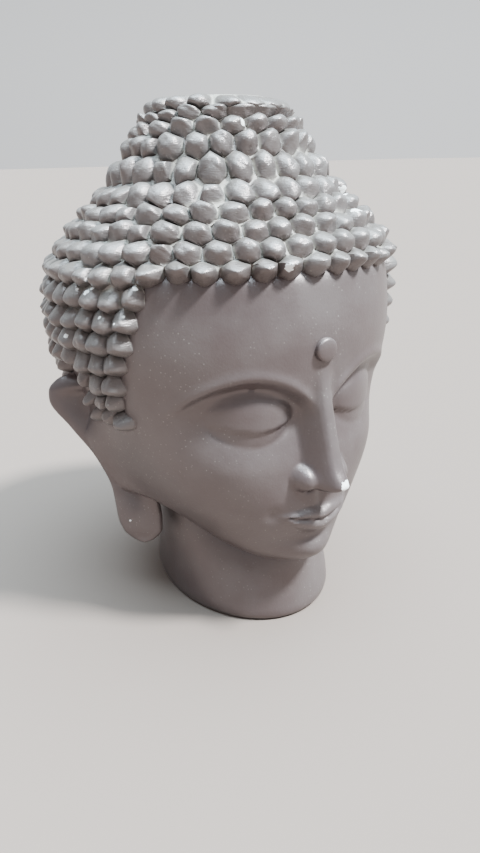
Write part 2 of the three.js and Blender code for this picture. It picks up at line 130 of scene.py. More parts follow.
# The smooth slab on the topknot's edge
SLAB_MIDDLE = 25
SLAB_HALF = 40
SLAB_FADE = 15
SLAB_RISE = (381, 386)
SLAB_FILL = 8
SLAB_WEAR = 0.75

# One curl, in shares of its height, and how much curls differ from each other
CURL_HEIGHT = 10.5
CURL_LEVEL = 0.52
CURL_SCATTER = 0.2
CURL_TALLEST = 1.15
CURL_ROLL = 0.7
RIDGE_DROP = 0.22
RIDGE_CLIMB = 0.25
RIDGE_HEIGHTS = (270, 310)
RIDGE_SCATTER = 0.3
DOME = 0.88
OUTLINE = 1.06
OUTLINE_GAP = 0.1
OUTLINE_HEIGHTS = (275, 310)
OUTLINE_POWER = 2.5
BODY = 1.15
BODY_POWERS = (3, 0.8)
FACET = 1.05
UPPER_SLOPE = 0.5
UPPER_SCATTER = 0.3
UPPER_BEND = 0.45
LOWER_SLOPE = 1.0
LOWER_SCATTER = 0.4
SIDE_FACET = 1.08
SIDE_SLOPE = 1.2
SIDE_SCATTER = 0.8
SIDE_PLACE = 0.5
BLUNT = 0.92
BLUNT_SCATTER = 0.12
FACET_BLEND = 0.07
DENT_DEPTH = 0.02
DENT_WAVES = (5, 6)
DENT_SHIFT = 6

# How finely the curls are cut, in front and at the back
FRONT_TURN = 120
FRONT_PARTS = 4
FRONT_BANDS = (0.0, 0.16, 0.32, 0.47, 0.61, 0.75, 0.87, 0.96)
BACK_PARTS = 2
BACK_BANDS = (0.0, 0.32, 0.58, 0.8, 0.95)

# Face on thirds, from the hairline to the brow, the nose's base and the chin, and five eyes wide
HAIRLINE = 286
THIRD = (HAIRLINE - CHIN) / 3
BROW = HAIRLINE - THIRD
NOSE_BASE = BROW - THIRD
MOUTH = NOSE_BASE - THIRD / 3
EYE = BROW - THIRD / 4
EYE_WIDTH = 45
EYE_CENTRE = 1.03 * EYE_WIDTH
EYE_HALF = 0.62 * EYE_WIDTH
FACE_TURNS = (84, 58)

# Brows and eyes
BROW_ARCH = 11
BROW_FALL = 23
BROW_PEAK = 1.15 * EYE_WIDTH
BROW_RIDGE = 1.6
BROW_SPREAD = 22
BROW_ENDS = (125, 95)
SOCKET_DEPTH = 9.5
LID_SWELL = 16
LID_HALF_HEIGHT = 21
LID_LINE = 10
LID_SAG = 6
LID_UNDER = 1.7
LID_CREASE = 0.9
FOLD_LINE = 15.5
FOLD_SAG = 8
FOLD_DEPTH = 0.8

# Nose
NOSE_TIP = NOSE_BASE + 9
NOSE_RISE = 26
NOSE_ROOT = 6
NOSE_BALL = 4
NOSE_BLEND = 5
WING_PLACE = 14.5
WING_HALF_WIDTH = 10
WING_HALF_HEIGHT = 11
WING_SWELL = 14
NOSTRIL_PLACE = 9.5
NOSTRIL_DEPTH = 4

# Mouth, cheeks and chin
MOUTH_HALF = 0.7 * EYE_WIDTH
MOUTH_MOUND = 7
CORNER_LIFT = 4.5
CORNER_DEPTH = 2.5
LIP_DIP = 1.6
UPPER_LIP = 10.5
UPPER_SWELL = 5.5
LOWER_LIP = 13
LOWER_SWELL = 6.5
SEAM_DEPTH = 1.8
GROOVE_DEPTH = 1.8
CHEEK_SWELL = 6
LIP_HOLLOW = 3.5
CHIN_SWELL = 9

# The round mark between the brows: its outline is a share of the radius at each depth
URNA_RADIUS = 8.5
URNA_HEIGHT = BROW + 27
URNA_SIDES = 48
URNA_PROFILE = [(1, 5), (1, -1), (0.98, -2.2), (0.93, -3), (0.8, -3.6), (0.5, -4), (0.2, -4.2)]

# Rows of the skin upwards, and its columns: turns from the front in degrees, and the step between them
NECK_FOOT = (0, 0.5, 1.5, 3, NECK_EDGE)
NECK_ROWS = 14
THROAT_ROWS = 7
JAW_ROWS = 27
LEVEL_START = JAW + 8
LEVEL_STOP = BROW + 14
LEVEL_PITCH = 1.75
FOREHEAD_START = BROW + 15.5
FOREHEAD_STOP = HAIRLINE + 20
FOREHEAD_PITCH = 4
SKIN_COLUMNS = [(0, 50, 0.9), (50, 96, 1.5), (96, 178, 6)]

# Ears: height, the rim's place, the root's place inside the head, and thickness, for the left ear
EAR = [
    (205, 128, 35, 108, 21, 7),
    (200, 140, 40, 105, 13, 16),
    (192, 147, 42, 103, 7, 19),
    (184, 148, 41, 102, 4, 18),
    (162, 137, 30, 100, 0, 15),
    (134, 122, 19, 94, -4, 15),
    (106, 114, 12, 85, -9, 22),
    (82, 113, 9, 82, -11, 24),
    (70, 110, 7, 83, -12, 22),
    (62, 104, 4, 88, -9, 15),
    (58, 98, 0, 93, -5, 7),
]
EAR_SECTIONS = 60
EAR_SIDES = 40
EAR_CUP = 6
EAR_CUP_WIDTHS = (4, 16)
EAR_HOLLOW = 0.75
EAR_HOLLOW_FOOT = (84, 120)
EAR_HOLLOW_TOP = (197, 187)
EAR_HOLLOW_SPREAD = 0.55
EAR_FILLET = 34
EAR_SLANT = 0.2
FLARE_GAPS = (26, 12)
FLARE_FOOT = (88, 108)
FLARE_TOP = (182, 150)

# Points closer than this are one, and edges sharper than this stay sharp
SAME_PLACE = 0.02
SHARP_EDGE = 55

# A repeatable scatter
SCATTER_WAVES = (12.9898, 78.233, 37.719)
SCATTER_SIZE = 43758.5453

# Paint, the plaster under it, the dust on it, and a pale cool colour for worn tips that is partly a painted
# highlight
PAINT_DARK = (0.050, 0.037, 0.037, 1)
PAINT_LIGHT = (0.076, 0.063, 0.062, 1)
HAIR_DARK = (0.066, 0.053, 0.050, 1)
HAIR_LIGHT = (0.096, 0.087, 0.085, 1)
# The pale cool colour of the worn tips is also a painted highlight where the tips face up.
WORN_AND_HIGHLIGHT = (0.34, 0.345, 0.36, 1)
DUST = (0.40, 0.385, 0.34, 1)
PLASTER = (0.9, 0.9, 0.89, 1)
SPECULAR = 0.9
SPECULAR_TINT = (1.0, 0.84, 0.82, 1)
SKIN_ROUGH = (0.36, 0.46)
HAIR_ROUGH = 0.3
WORN_ROUGH = 0.25
MATT_ROUGH = 0.9

# Where paint, dust, and wear with a painted highlight lie. A pair is where a share is 0 and where it is 1,
# with heights in metres.
NOISE_DETAIL = 3.0
NOISE_ROUGH = 0.6
TONE_SCALE = 16.0
TONE_DETAIL = 5.0
TONE_BAND = (0.3, 0.7)
HAIR_STUDS = (-0.6, -0.4)
UPWARD_BAND = (0.1, 0.8)
FILM = 0.1
FILM_STUDS = (1.1, 0.7)
FILM_HEIGHTS = (0.14, 0.3)
VALLEY_DUST = 0.65
VALLEY_STUDS = (0.35, 0.05)
VALLEY_HEIGHTS = (0.2, 0.31)
VALLEY_FACING = (-0.3, 0.2)
PATCH_SCALE = 45.0
PATCH_BAND = (0.3, 0.62)
WEAR_AND_HIGHLIGHT = 0.15
WEAR_AND_HIGHLIGHT_STUDS = (0.62, 0.85)
WEAR_AND_HIGHLIGHT_HEIGHTS = (0.25, 0.29)
WEAR_AND_HIGHLIGHT_LOW = 0.3
RUB_SCALE = 90.0
RUB_BAND = (0.4, 0.7)
RUB_LOW = 0.4
SPECKS = 0.28
SPECK_SCALE = 420.0
SPECK_DOT = (0.3, 0.1)
SPECK_PICK = (0.6, 0.9)
SPECK_TONES = (0.1, 0.8)
STROKE = 3.0
STROKE_SCALE = 300.0
STROKE_DETAIL = 4.0
STROKE_SQUASH = (1, 1, 4)
GRAIN_SCALES = (500.0, 110.0)
GRAIN_STRENGTH = 0.3
GRAIN_DEPTH = 0.0005

# Chips in the paint: place and radius
CHIPS = [
    (68, -50.7, 333.4, 4),
    (52.5, -83, 322, 4.5),
    (-14.4, -41.2, 379.4, 2.4),
    (-29.1, -115.6, 293.5, 3),
    (-130.5, -26.4, 277.1, 2.4),
    (-132.7, -14.6, 277.6, 1.2),
    (-126.7, -27.9, 278.9, 1.3),
    (-109.5, -60.1, 281.7, 1.7),
    (-140.8, -1.3, 243.4, 2),
    (-128.3, -41.4, 262.4, 1.3),
    (-117.1, -55.5, 263.8, 1.2),
    (-123.5, -54.2, 259.9, 0.8),
    (-107, -2, 81, 0.9),
    (2, -144, 143, 4.5),
]
CHIP_SCALE = 420.0
CHIP_RAGGED = 2
CHIP_EDGE = 1.85

# The photograph's camera, fitted to the hair, the ears and the neck's rim
CAMERA_TURN = -31
CAMERA_DISTANCE = 518.3
CAMERA_HEIGHT = 357.5
CAMERA_PITCH = 22.8
CAMERA_YAW = -0.28
CAMERA_ROLL = -1.28
FOCAL_PIXELS = 640
IMAGE_HEIGHT = 853
SENSOR = 36
CLIP_START = 0.01

# Light from all round: its strength near the floor on the left and the right, and overhead
ROUND_COLOUR = (0.95, 0.975, 1.0, 1)
ROUND_LEFT = 0.7
ROUND_RIGHT = 1.2
ROUND_ACROSS = (-0.7, 0.7)
ROUND_OVERHEAD = 0.75
ROUND_RISE = (0.1, 0.5)

# Lights from far off: name, place in metres, softness in degrees, strength and colour
SUNS = [
    ("sky", (0.1, -0.05, 1.2), 60, 14.0, (0.66, 0.88, 1.0)),
    ("key", (0.34, -0.43, 1.04), 8, 18.5, (0.88, 0.97, 1.0)),
]
SUN_AIM = (0, 0, 0.2)

# Floor, in metres
FLOOR_HALF = 40.0
FLOOR_COLOUR = (0.18, 0.142, 0.124, 1)
FLOOR_ROUGH = 0.9
FLOOR_SPECULAR = 0.1


def ramp(value, start, stop):
    """A smooth ramp from 0 to 1 as a value goes from one limit to the other, in either direction."""
    t = np.clip((value - start) / (stop - start), 0, 1)
    return t * t * (3 - 2 * t)


def bell(value, middle, width):
    """A bell of height 1 around a middle."""
    return np.exp(-(((value - middle) / width) ** 2))


def soft_max(a, b, blend):
    """A rounded maximum of two values. Equal values come out a quarter of the blend higher."""
    h = np.clip(0.5 + 0.5 * (a - b) / blend, 0, 1)
    return b + (a - b) * h + blend * h * (1 - h)


def soft_min(values, blend):
    """A rounded minimum of several values."""
    stack = np.stack(values)
    low = stack.min(0)
    return low - blend * np.log(np.exp(-(stack - low) / blend).sum(0))


def scatter(row, place, kind):
    """A repeatable number from -0.5 to 0.5 for each curl."""
    first, second, third = SCATTER_WAVES
    v = math.sin(row * first + place * second + kind * third) * SCATTER_SIZE
    return v - math.floor(v) - 0.5


def column(table, index):
    """A smooth curve through one column of a table, as a function of height."""
    rows = sorted(table)
    z = np.array([row[0] for row in rows], float)
    v = np.array([row[index] for row in rows], float)
    slopes = np.diff(v) / np.diff(z)
    product = slopes[:-1] * slopes[1:]
    total = np.where(product > 0, slopes[:-1] + slopes[1:], 1)
    middle = np.where(product > 0, 2 * product / total, 0)
    tangents = np.concatenate([slopes[:1], middle, slopes[-1:]])

    def value(height):
        h = np.clip(height, z[0], z[-1])
        i = np.clip(np.searchsorted(z, h) - 1, 0, len(z) - 2)
        span = z[i + 1] - z[i]
        t = (h - z[i]) / span
        bend = t * (1 - t) * span
        straight = v[i] + (v[i + 1] - v[i]) * t * t * (3 - 2 * t)
        return straight + bend * ((1 - t) * tangents[i] - t * tangents[i + 1])

    return value


skull_width = column(SKULL, 1)
skull_front = column(SKULL, 2)
skull_back = column(SKULL, 3)


def skull_reach(angle, z):
    """The skull's reach from its axis. The angle is 0 at the front and grows towards +X."""
    depth = np.where(np.cos(angle) > 0, skull_front(z), skull_back(z))
    return 1 / np.hypot(np.sin(angle) / skull_width(z), np.cos(angle) / depth)


def polar(angle, reach, z):
    """Places at a reach from the skull's axis."""
    x = reach * np.sin(angle)
    y = AXIS_Y - reach * np.cos(angle)
    return np.stack(np.broadcast_arrays(x, y, z), -1).astype(float)


def neck_reach(angle, z):
    """The neck's reach from the same axis, to an oval that is centred on the origin."""
    edge = NECK_EDGE - np.minimum(z, NECK_EDGE)
    inset = NECK_EDGE - np.sqrt(NECK_EDGE**2 - edge**2)
    waist = NECK_WAIST * bell(z, WAIST_HEIGHT, WAIST_SPREAD)
    a = NECK_HALF_WIDTH - inset - waist
    b = NECK_HALF_DEPTH - inset - waist
    s = np.sin(angle) / a
    c = np.cos(angle) / b
    offset = AXIS_Y / b
    square = s * s + c * c
    return (c * offset + np.sqrt((c * offset) ** 2 + square * (1 - offset**2))) / square


def edge_angle(z):
    """The angle from the front where the hair beside the face begins."""
    return np.minimum(TEMPLE + TEMPLE_SLOPE * (FOREHEAD - z), TEMPLE_BACK)


def hair_depth(angle, z):
    """How far a place is inside the hair, below 0 on bare skin, with the height square to the rows."""
    turn = np.abs(np.degrees(angle))
    beside = np.radians(turn - edge_angle(z)) * skull_reach(angle, z)
    over_ear = (EAR_TOP - SIDEBURN) * ramp(turn, *EAR_FRONT)
    lower = SIDEBURN + over_ear + (NAPE - EAR_TOP) * ramp(turn, *EAR_BACK)
    return soft_max(z - FOREHEAD, np.minimum(beside, z - lower), EDGE_BLEND)


def row_lift(angle, reach):
    """How far the tilt of the rows lifts a place."""
    return ROW_TILT * reach * np.cos(angle)


# Face


def brow_line(x):
    """The arched brow, as a height at a distance from the middle of the face."""
    return BROW + BROW_ARCH - BROW_FALL * ((x - BROW_PEAK) / EYE_WIDTH) ** 2


def eye_relief(x, z):
    """The sunk eye, its full closed lid, the fold over it and the line where the lids meet."""
    brow = brow_line(x)
    across = ramp(x, 2.3 * EYE_WIDTH, 1.6 * EYE_WIDTH) * ramp(x, 5, 16)
    socket = ramp(z, brow + 1, brow - 11) * ramp(z, EYE - 42, EYE + 2) * across
    edge = bell(z, brow + 2, 4.5) * across
    t = (x - EYE_CENTRE) / EYE_HALF
    lid = np.sqrt(np.maximum(0, 1.65 - t * t - ((z - EYE) / LID_HALF_HEIGHT) ** 2)) - 0.8
    line = EYE - LID_LINE + LID_SAG * t * t
    inside = ramp(np.abs(t), 1.08, 0.85)
    under = ramp(z, line + 0.5, line - 1.1) * ramp(z, line - 13, line - 3) * inside
    crease = bell(z, line - 0.4, 1.1) * inside
    fold = bell(z, EYE + FOLD_LINE - FOLD_SAG * t * t, 1.7) * ramp(np.abs(t), 1.1, 0.7)
    form = -SOCKET_DEPTH * socket + BROW_RIDGE * edge + LID_SWELL * np.maximum(0, lid)
    return form - LID_UNDER * under - LID_CREASE * crease - FOLD_DEPTH * fold


def nose_relief(x, z):
    """The straight nose with a rounded tip, its wings and the nostrils under them."""
    top = BROW - 2
    along = np.clip((top - z) / (top - NOSE_TIP), 0, 1)
    rise = (NOSE_ROOT + (NOSE_RISE - NOSE_ROOT) * along) * ramp(z, top + 26, top - 4)
    below = np.clip((NOSE_TIP - z) / (NOSE_TIP - NOSE_BASE + 1), 0, 1)
    end = np.sqrt(1 - below * below)
    ridge = rise * end * ramp(x, 10 + 8 * along, 2 + 2 * along)
    tip = NOSE_BALL * bell(x, 0, 9) * bell(z, NOSE_TIP + 1, 8) * end
    round_wing = ((z - NOSE_BASE - 9) / WING_HALF_HEIGHT) ** 2
    wing = 1 - ((x - WING_PLACE) / WING_HALF_WIDTH) ** 2 - round_wing
    wing = WING_SWELL * np.maximum(0, wing) ** 0.7
    nostril = NOSTRIL_DEPTH * bell(x, NOSTRIL_PLACE, 3.6) * bell(z, NOSE_BASE + 0.5, 2.6)
    return soft_max(ridge + tip, wing, NOSE_BLEND) - NOSE_BLEND / 4 - nostril


def lip(share, full):
    """The swell of a lip, from the seam at 0 to its outer edge at 1."""
    inside = (share >= 0) & (share < 1)
    share = np.clip(share, 0, 1)
    return np.where(inside, full * (1 - share * share) ** 0.8 * (0.6 + 0.4 * ramp(share, 0, 0.45)), 0)


def mouth_relief(x, z):
    """Closed lips with a faint lift at the corners, and the mound that carries them."""
    t = np.minimum(x / MOUTH_HALF, 1)
    line = MOUTH + CORNER_LIFT * t * t - LIP_DIP * bell(x, 0, 6)
    narrowing = np.sqrt(1 - t * t)
    upper = (z - line) / (UPPER_LIP * (1 - t**1.5) - 2.2 * bell(x, 0, 4) + 0.8)
    lower = (line - z) / (LOWER_LIP * (1 - t * t) + 0.8)
    lips = np.maximum(lip(upper, UPPER_SWELL), lip(lower, LOWER_SWELL))
    seam = SEAM_DEPTH * bell(z, line, 1.4)
    mound = MOUTH_MOUND * bell(x, 0, 38) * bell(z, MOUTH + 3, 27)
    groove = GROOVE_DEPTH * bell(x, 0, 3.6) * ramp(z, NOSE_BASE, NOSE_BASE - 6)
    groove = groove * ramp(z, MOUTH + 7, MOUTH + 12)
    corner = CORNER_DEPTH * bell(x, MOUTH_HALF + 3, 5) * bell(z, MOUTH + 5, 6)
    return mound + narrowing * (lips - seam) - groove - corner


def cheek_relief(x, z):
    """Full cheeks, the hollow under the lips and a round chin."""
    cheek = CHEEK_SWELL * bell(x, 1.45 * EYE_WIDTH, 30) * bell(z, NOSE_BASE + 8, 34)
    hollow = LIP_HOLLOW * bell(x, 0, 24) * bell(z, MOUTH - 19, 6.5)
    chin = CHIN_SWELL * bell(x, 0, 21) * bell(z, CHIN + 17, 14)
    return cheek - hollow + chin


def face_relief(x, z):
    """How far the face stands forward of the skull."""
    side = np.abs(x)
    return eye_relief(side, z) + nose_relief(side, z) + mouth_relief(side, z) + cheek_relief(side, z)


# Skin: face, skull and neck


def jaw_height(angle):
    """The jaw's lower edge: low at the chin, higher at the sides and level behind."""
    return CHIN + (JAW - CHIN) * np.minimum(1, np.sin(angle) ** 2 + (np.cos(angle) < 0))


def skin_points(angle, z):
    """Places on the bare skin above the jaw, drawn in under the hair."""
    above = np.clip((z - jaw_height(angle)) / JAW_ROUND, 0, 1)
    rounding = JAW_INSET * (1 - np.sqrt(1 - (1 - above) ** 2))
    reach = skull_reach(angle, z) + ear_flare(angle, z) - rounding
    level = z - row_lift(angle, reach)
    inset = HAIR_INSET * ramp(hair_depth(angle, level), *HAIR_INSET_DEPTHS)
    points = polar(angle, reach - inset, z)
    facing = ramp(np.abs(np.degrees(angle)), *FACE_TURNS)
    points[..., 1] -= facing * face_relief(points[..., 0], z)
    return points


def follow_brow(angle, z):
    """A row's height, bent so that the rows near the brow run along it."""
    x = np.abs(skull_reach(angle, z) * np.sin(angle))
    return z + (brow_line(x) - BROW) * bell(z, BROW, BROW_SPREAD) * ramp(x, *BROW_ENDS)


def skin_angles():
    """Columns of the skin: close together over the face, wider at the sides and the back."""
    half = np.concatenate([np.arange(*columns) for columns in SKIN_COLUMNS])
    return np.radians(np.concatenate([-half[:0:-1], half]))


def neck_rows(angles, jaw, edge):
    """Rows of the neck from its foot upwards, drawn in under the jaw's edge."""
    rows = [polar(angles, neck_reach(angles, z), z) for z in NECK_FOOT]
    under = np.hypot(edge[:, 0], edge[:, 1] - AXIS_Y) - JAW_OVERHANG
    for part in np.linspace(0, 1, NECK_ROWS)[1:]:
        z = NECK_EDGE + (jaw - JAW_UNDER - NECK_EDGE) * part
        neck = neck_reach(angles, z)
        drawn_in = neck + soft_max(-neck, -under, NECK_BLEND)
        rows.append(polar(angles, neck - drawn_in * part**2, z))
    return rows


def throat_rows(throat, jaw, edge):
    """Rows under the jaw, from the top of the neck out to the jaw's edge."""
    rows = []
    for part in np.linspace(0, 1, THROAT_ROWS)[1:-1]:
        row = throat + (edge - throat) * part
        row[:, 2] = jaw - JAW_UNDER + JAW_UNDER * np.sin(0.5 * np.pi * part)
        rows.append(row)
    return rows


def skin():
    """The skin in rows from the foot of the neck up to where the hair covers it."""
    angles = skin_angles()
    jaw = jaw_height(angles)
    edge = skin_points(angles, jaw)
    rows = neck_rows(angles, jaw, edge)
    rows += throat_rows(rows[-1], jaw, edge)
    for part in np.arange(0, 1, 1 / JAW_ROWS):
        rows.append(skin_points(angles, jaw + (LEVEL_START - jaw) * part))
    for z in np.arange(LEVEL_START, LEVEL_STOP, LEVEL_PITCH):
        rows.append(skin_points(angles, follow_brow(angles, z)))
    for z in np.arange(FOREHEAD_START, FOREHEAD_STOP, FOREHEAD_PITCH):
        rows.append(skin_points(angles, follow_brow(angles, z)))
    return loft(rows)


def loft(rings):
    """Closes a stack of equal rings, listed upwards and anticlockwise from above."""
    grid = np.array(rings)
    levels, sides, _ = grid.shape
    index = np.arange(levels * sides).reshape(levels, sides)
    a = index[:-1]
    b = np.roll(index, -1, 1)[:-1]
    c = np.roll(index, -1, 1)[1:]
    d = index[1:]
    quads = np.concatenate([np.stack([a, b, c], -1).reshape(-1, 3), np.stack([a, c, d], -1).reshape(-1, 3)])
    points = np.concatenate([grid.reshape(-1, 3), [grid[0].mean(0), grid[-1].mean(0)]])
    bottom = np.full(sides, levels * sides)
    first = np.stack([bottom, np.roll(index[0], -1), index[0]], -1)
    last = np.stack([bottom + 1, index[-1], np.roll(index[-1], -1)], -1)
    return points, np.concatenate([quads, first, last])


ear_rim_x, ear_rim_y, ear_root_x, ear_root_y, ear_thickness = [column(EAR, index) for index in range(1, 6)]


def ear_ring(z, side):
    """A level section of one ear: a cupped leaf with a rolled rim."""
    turn = np.linspace(0, 2 * np.pi, EAR_SIDES, endpoint=False)
    u = np.cos(turn)
    rim = np.array([ear_rim_x(z), ear_rim_y(z)])
    root = np.array([ear_root_x(z), ear_root_y(z)])
    across = 0.5 * (rim - root)
    front = np.array([across[1], -across[0]]) / np.hypot(*across)
    hollow = EAR_HOLLOW * ramp(z, *EAR_HOLLOW_FOOT) * ramp(z, *EAR_HOLLOW_TOP)
    hollow = hollow * bell(u, 0.0, EAR_HOLLOW_SPREAD)
    facing = -np.sin(turn)
    swell = np.where(facing > 0, facing * (1 - hollow), facing)
    cup = EAR_CUP * ramp(np.hypot(*across), *EAR_CUP_WIDTHS)
    offset = 0.5 * ear_thickness(z) * swell - cup * (1 - u * u)
    ring = 0.5 * (rim + root) + u[:, None] * across + offset[:, None] * front
    ring = np.column_stack([side * ring[:, 0], ring[:, 1], np.full(EAR_SIDES, z)])
    return ring if side > 0 else ring[::-1]


def ear(side):
    """One ear in level sections from the lobe up to the top."""
    low = EAR[-1][0]
    high = EAR[0][0]
    rings = []
    for part in np.linspace(0, 1, EAR_SECTIONS):
        z = low + (high - low) * (0.5 - 0.5 * math.cos(math.pi * part))
        rings.append(ear_ring(z, side))
    return loft(rings)


def ear_line(turn, z):
    """The reach of the ear's middle plane from the skull's axis."""
    dx = ear_rim_x(z) - ear_root_x(z)
    dy = ear_rim_y(z) - ear_root_y(z)
    start = dy * ear_root_x(z) - dx * (ear_root_y(z) - AXIS_Y)
    return start / np.maximum(dy * np.sin(turn) + dx * np.cos(turn), EAR_SLANT * np.hypot(dx, dy))


def ear_flare(angle, z):
    """How far the cheek swells to run into the ear."""
    skull = skull_reach(angle, z)
    line = ear_line(np.abs(angle), z)
    gain = soft_max(line, skull, EAR_FILLET) - skull
    return gain * ramp(line - skull, *FLARE_GAPS) * ramp(z, *FLARE_FOOT) * ramp(z, *FLARE_TOP)


def urna():
    """The round mark between the brows."""
    y = skin_points(np.zeros(1), np.full(1, URNA_HEIGHT))[0, 1]
    turn = np.linspace(0, 2 * np.pi, URNA_SIDES, endpoint=False)
    rings = []
    for share, depth in URNA_PROFILE:
        x = share * URNA_RADIUS * np.cos(turn)
        z = URNA_HEIGHT + share * URNA_RADIUS * np.sin(turn)
        rings.append(np.column_stack([x, np.full(URNA_SIDES, y + depth), z]))
    return loft(rings)


# Hair


class Curl:
    """The middle of one curl, and the valley corners round it."""

    def __init__(self, angle, z, row, place):
        self.angle = angle
        self.z = z
        self.row = row
        self.place = place
        self.real = False
        self.above = []
        self.below = []

    def vary(self, kind):
        """One of the ways in which this curl differs from the others."""
        return scatter(self.row, self.place, kind)

    def corners(self):
        def by_angle(item):
            return wrap(item[1] - self.angle)

        below = sorted(self.below, key=by_angle)
        above = sorted(self.above, key=by_angle, reverse=True)
        return [corner for corner, _ in below + above]


def wrap(angle):
    """The same angle, from half a turn back to half a turn on."""
    return angle - 2 * math.pi * round(angle / (2 * math.pi))


def row_stretch(z):
    """How tall the rows are at a height: close at the top, tall round the topknot."""
    return 1 - TOP_SQUEEZE * ramp(z, *TOP_ROWS) + KNOT_STRETCH * bell(z, KNOT_FOOT, KNOT_SPREAD)


def curl_rows():
    """Heights of the rows of curls, spaced down the side of the skull."""
    lengths = []
    run = 0.0
    z = CROWN
    while z > NAPE - ROW_PITCH:
        lengths.append((z, run))
        run += math.hypot(ROW_STEP, skull_width(z) - skull_width(z - ROW_STEP)) / row_stretch(z)
        z -= ROW_STEP
    hairline = next(length for z, length in lengths if z <= HAIRLINE_ROW)
    pitch = hairline / round(hairline / ROW_PITCH)
    rounding = 1e-6
    rows = []
    for z, length in lengths:
        if length >= len(rows) * pitch - rounding:
            rows.append(z)
    return rows


def narrowed(angle, z):
    """Draws the curls of the sideburns close together."""
    off = abs(math.degrees(wrap(angle))) - NARROW
    pull = NARROW_PULL * math.tanh(off / NARROW_NEAR) * math.exp(-((off / NARROW_FAR) ** 2))
    pull *= ramp(z, *NARROW_HEIGHTS)
    return angle - math.copysign(math.radians(pull), wrap(angle))


def settle(curls, height):
    """Moves the curls of a row beside the face, so that one stands right behind the hair's edge."""
    for side in (1, -1):
        edge = side * math.radians(edge_angle(height))
        wanted = edge + side * EDGE_ROOM / skull_reach(edge, height)
        nearest = min(curls, key=lambda curl: abs(wrap(curl.angle - wanted)))
        move = wrap(wanted - nearest.angle)
        for curl in curls:
            curl.angle += move * bell(wrap(curl.angle - wanted), 0, SETTLE_SPREAD)


def curl_ring(height, row):
    """Middles of the curls in one row, evenly spaced along it."""
    turns = np.linspace(0, 2 * np.pi, RING_STEPS)
    outline = polar(turns, skull_reach(turns, height) + CURL_HEIGHT, 0)
    lengths = np.concatenate([[0], np.cumsum(np.linalg.norm(np.diff(outline, axis=0), axis=1))])
    count = round(lengths[-1] / CURL_PITCH)
    curls = []
    for place in range(count):
        shift = ROW_SHIFT * row % 1 + PLACE_SCATTER * scatter(row, place, 1)
        length = ((place + shift + 1) % count) / count * lengths[-1]
        angle = float(np.interp(length, lengths, turns))
        z = height + HEIGHT_SCATTER * scatter(row, place, 2)
        curls.append(Curl(narrowed(angle, z), z, row, place))
    if SIDEBURN < height < FOREHEAD:
        settle(curls, height)
    for curl in curls:
        curl.real = bool(hair_depth(wrap(curl.angle), curl.z) > CURL_ROOM)
    return sorted(curls, key=lambda curl: curl.angle)


def scalp(angle, z, share=1.0, out=0.0):
    """A place on the scalp, at a share of its reach and a distance outside it."""
    reach = share * skull_reach(angle, z) + out
    return polar(angle, reach, z + row_lift(angle, reach))


def curl_direction(angle, z):
    """The way a curl points: out from the scalp, turned towards the level."""
    small = 0.01
    across = scalp(angle + small, z) - scalp(angle - small, z)
    up = scalp(angle, z + 1) - scalp(angle, z - 1)
    normal = np.cross(across, up)
    normal /= np.linalg.norm(normal)
    level = np.array([normal[0], normal[1], 0]) / np.hypot(normal[0], normal[1])
    direction = normal + (level - normal) * CURL_LEVEL
    return direction / np.linalg.norm(direction)


def link_rows(upper, lower, add_corner):
    """Links two rows of curls: each triangle of middles leaves one corner in the valley."""

    def angle_at(ring, i):
        return ring[i % len(ring)].angle + 2 * math.pi * (i // len(ring))

    gaps = [abs(wrap(curl.angle - upper[0].angle)) for curl in lower]
    i = 0
    j = gaps.index(min(gaps))
    if lower[j].angle - upper[0].angle > math.pi:
        j -= len(lower)
    last_i = len(upper)
    last_j = j + len(lower)
    while i < last_i or j < last_j:
        ahead = abs(angle_at(upper, i + 1) - angle_at(lower, j))
        behind = abs(angle_at(lower, j + 1) - angle_at(upper, i))
        advance_upper = j == last_j or (i < last_i and ahead < behind)
        third = (upper, i + 1) if advance_upper else (lower, j + 1)
        corners = [(upper, i), (lower, j), third]
        angle = sum(angle_at(ring, k) for ring, k in corners) / 3
        curls = [ring[k % len(ring)] for ring, k in corners]
        corner = add_corner(wrap(angle), curls)
        for (ring, _), curl in zip(corners, curls):
            (curl.below if ring is upper else curl.above).append((corner, angle))
        if advance_upper:
            i += 1
        else:
            j += 1


def slab(angle, z):
    """Where the topknot's edge is worn and filled to a smooth slab: 1 on it, 0 elsewhere."""
    beside = abs(math.degrees(angle) - SLAB_MIDDLE)
    return ramp(beside, SLAB_HALF + SLAB_FADE, SLAB_HALF) * ramp(z, *SLAB_RISE)


def unit(values):
    """Values scaled so that the widest reaches 1."""
    return values / np.abs(values).max()


